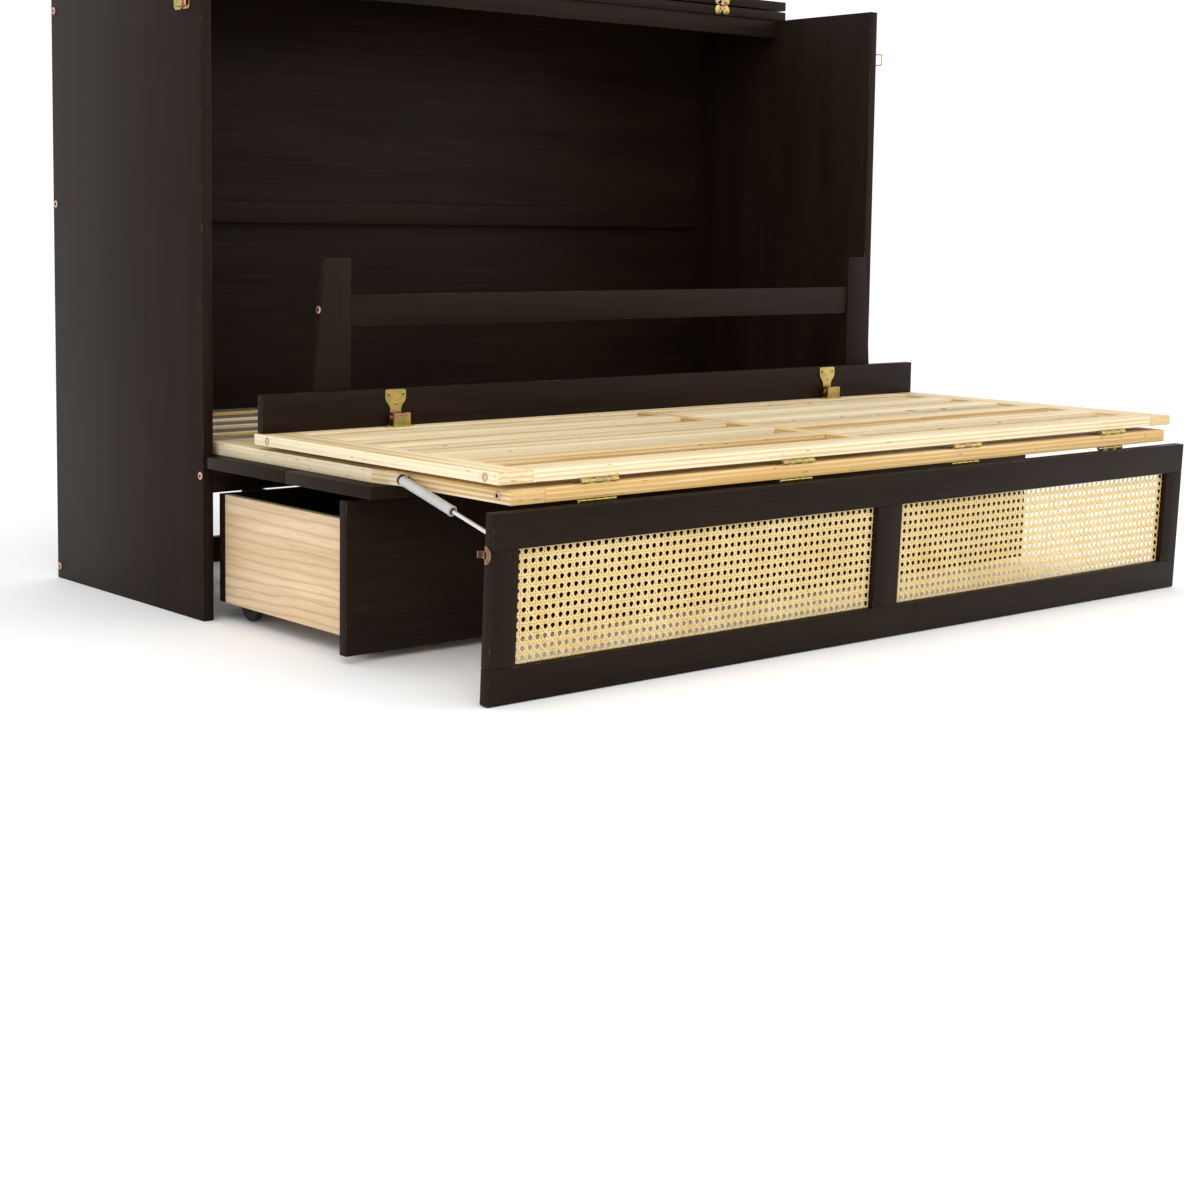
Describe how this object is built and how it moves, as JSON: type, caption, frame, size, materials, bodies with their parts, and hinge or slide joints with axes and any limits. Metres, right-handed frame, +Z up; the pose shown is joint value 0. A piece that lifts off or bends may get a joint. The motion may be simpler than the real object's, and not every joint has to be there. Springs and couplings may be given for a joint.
{
  "type": "folding cabinet bed",
  "caption": "Dark-stained cabinet bed with a lift-up lid, slatted deck sections folded out of its front, fold-down legs, a cane panel on gas struts and a drawer on casters",
  "frame": {"origin": "middle of the bounding box at floor level", "axes": "+X to the bed's right as seen from the front, +Y from the foot end to the cabinet's back, +Z up"},
  "size_m": [1.5066, 1.1973, 1.0371],
  "materials": {
    "espresso_wood": "satin espresso stain over plywood and solid wood",
    "pine": "bare sanded pine plywood",
    "cane": "woven natural cane, unvarnished",
    "oak_laminate": "matt printed oak laminate",
    "zinc_steel": "yellow zinc plated",
    "strut_grey": "satin light grey paint",
    "chrome": "polished chrome",
    "black_plastic": "matt black"
  },
  "bodies": {
    "cabinet": {"side_panel_left": "espresso_wood", "side_panel_right": "espresso_wood", "back_panel": "espresso_wood", "back_mid_rail": "espresso_wood", "back_low_frame": "espresso_wood", "deck_front_rail": "espresso_wood", "head_deck": "pine", "top_board": "espresso_wood", "top_front_rail": "espresso_wood", "latch_plate_left": "zinc_steel", "latch_plate_right": "zinc_steel"},
    "lid": {"lid_board": "espresso_wood", "lid_hinge_left": "zinc_steel", "lid_hinge_right": "zinc_steel"},
    "middle_section": {"middle_deck": "pine", "plank_rear": "espresso_wood", "plank_front": "espresso_wood", "deck_hinge_left": "zinc_steel", "deck_hinge_right": "zinc_steel"},
    "foot_section": {"foot_deck": "pine", "foot_hinge_1": "zinc_steel", "foot_hinge_2": "zinc_steel", "foot_hinge_3": "zinc_steel", "foot_hinge_4": "zinc_steel", "bracket_base_left": "zinc_steel", "bracket_base_right": "zinc_steel"},
    "legs": {"leg_board": "espresso_wood", "foot_leg_left": "espresso_wood", "foot_leg_right": "espresso_wood", "leg_crossbar": "espresso_wood", "bracket_plate_left": "zinc_steel", "bracket_plate_right": "zinc_steel"},
    "panel": {"panel_frame": "espresso_wood", "cane_left": "cane", "cane_right": "cane", "panel_hinge_1": "zinc_steel", "panel_hinge_2": "zinc_steel", "panel_hinge_3": "zinc_steel", "panel_hinge_4": "zinc_steel", "hook_plate_left": "zinc_steel", "hook_plate_right": "zinc_steel"},
    "tube_left": {"strut_tube_left": "strut_grey"},
    "tube_right": {"strut_tube_right": "strut_grey"},
    "rod_left": {"strut_rod_left": "chrome"},
    "rod_right": {"strut_rod_right": "chrome"},
    "drawer": {"drawer_face": "espresso_wood", "drawer_side_left": "oak_laminate", "drawer_side_right": "oak_laminate", "drawer_back": "espresso_wood", "drawer_floor": "oak_laminate", "caster_cleat_left": "black_plastic", "caster_cleat_right": "black_plastic"},
    "wheel_lf": {"wheel_left_front": "black_plastic"},
    "wheel_lr": {"wheel_left_rear": "black_plastic"},
    "wheel_rf": {"wheel_right_front": "black_plastic"},
    "wheel_rr": {"wheel_right_rear": "black_plastic"},
    "lever_left": {"latch_lever_left": "zinc_steel"},
    "lever_right": {"latch_lever_right": "zinc_steel"},
    "bail_left": {"latch_bail_left": "zinc_steel"},
    "bail_right": {"latch_bail_right": "zinc_steel"}
  },
  "joints": [
    {"name": "lid_turn", "type": "hinge", "parent": "cabinet", "child": "lid", "pos_m": [0, 0.33775, 1.0187], "axis": [1, 0, 0], "range_deg": [0, 180]},
    {"name": "middle_turn", "type": "hinge", "parent": "cabinet", "child": "middle_section", "pos_m": [0, 0.11625, 0.267], "axis": [-1, 0, 0], "range_deg": [0, 90]},
    {"name": "foot_turn", "type": "hinge", "parent": "middle_section", "child": "foot_section", "pos_m": [0, -0.58525, 0.27075], "axis": [-1, 0, 0], "range_deg": [-180, 0]},
    {"name": "leg_turn", "type": "hinge", "parent": "foot_section", "child": "legs", "pos_m": [0, -0.04025, 0.304], "axis": [1, 0, 0], "range_deg": [0, 90]},
    {"name": "panel_turn", "type": "hinge", "parent": "middle_section", "child": "panel", "pos_m": [0, -0.58075, 0.24515], "axis": [1, 0, 0], "range_deg": [-2.4, 87.6]},
    {"name": "drawer_roll", "type": "slide", "parent": "cabinet", "child": "drawer", "axis": [0, 1, 0], "range_m": [-0.05, 0.36]},
    {"name": "strut_turn_left", "type": "hinge", "parent": "middle_section", "child": "tube_left", "pos_m": [-0.703, -0.37025, 0.2585], "axis": [1, 0, 0], "range_deg": [-14.6, 0.6]},
    {"name": "rod_slide_left", "type": "slide", "parent": "tube_left", "child": "rod_left", "axis": [0, -0.9675, -0.2527], "range_m": [-0.0316, 0.0014]},
    {"name": "strut_turn_right", "type": "hinge", "parent": "middle_section", "child": "tube_right", "pos_m": [0.703, -0.37025, 0.2585], "axis": [1, 0, 0], "range_deg": [-14.6, 0.6]},
    {"name": "rod_slide_right", "type": "slide", "parent": "tube_right", "child": "rod_right", "axis": [0, -0.9675, -0.2527], "range_m": [-0.0316, 0.0014]},
    {"name": "wheel_roll_left_front", "type": "hinge", "parent": "drawer", "child": "wheel_lf", "pos_m": [-0.6665, -0.22025, 0.0217], "axis": [1, 0, 0], "range_deg": [-965, 140]},
    {"name": "wheel_roll_left_rear", "type": "hinge", "parent": "drawer", "child": "wheel_lr", "pos_m": [-0.6665, 0.06175, 0.0217], "axis": [1, 0, 0], "range_deg": [-965, 140]},
    {"name": "wheel_roll_right_front", "type": "hinge", "parent": "drawer", "child": "wheel_rf", "pos_m": [0.6665, -0.22025, 0.0217], "axis": [1, 0, 0], "range_deg": [-965, 140]},
    {"name": "wheel_roll_right_rear", "type": "hinge", "parent": "drawer", "child": "wheel_rr", "pos_m": [0.6665, 0.06175, 0.0217], "axis": [1, 0, 0], "range_deg": [-965, 140]},
    {"name": "lever_turn_left", "type": "hinge", "parent": "cabinet", "child": "lever_left", "pos_m": [-0.7348, 0.16175, 0.913], "axis": [0, 0, -1], "range_deg": [0, 100]},
    {"name": "bail_turn_left", "type": "hinge", "parent": "lever_left", "child": "bail_left", "pos_m": [-0.73715, 0.14075, 0.913], "axis": [0, 0, -1], "range_deg": [-20, 60]},
    {"name": "lever_turn_right", "type": "hinge", "parent": "cabinet", "child": "lever_right", "pos_m": [0.7348, 0.16175, 0.913], "axis": [0, 0, 1], "range_deg": [0, 100]},
    {"name": "bail_turn_right", "type": "hinge", "parent": "lever_right", "child": "bail_right", "pos_m": [0.73715, 0.14075, 0.913], "axis": [0, 0, 1], "range_deg": [-20, 60]}
  ],
  "couplings": [
    {"joint": "strut_turn_left", "follows": "panel_turn", "ratio": -0.16385},
    {"joint": "rod_slide_left", "follows": "panel_turn", "m_per_rad": -0.020266},
    {"joint": "strut_turn_right", "follows": "panel_turn", "ratio": -0.16385},
    {"joint": "rod_slide_right", "follows": "panel_turn", "m_per_rad": -0.020266},
    {"joint": "wheel_roll_left_front", "follows": "drawer_roll", "rad_per_m": -46.512},
    {"joint": "wheel_roll_left_rear", "follows": "drawer_roll", "rad_per_m": -46.512},
    {"joint": "wheel_roll_right_front", "follows": "drawer_roll", "rad_per_m": -46.512},
    {"joint": "wheel_roll_right_rear", "follows": "drawer_roll", "rad_per_m": -46.512}
  ]
}
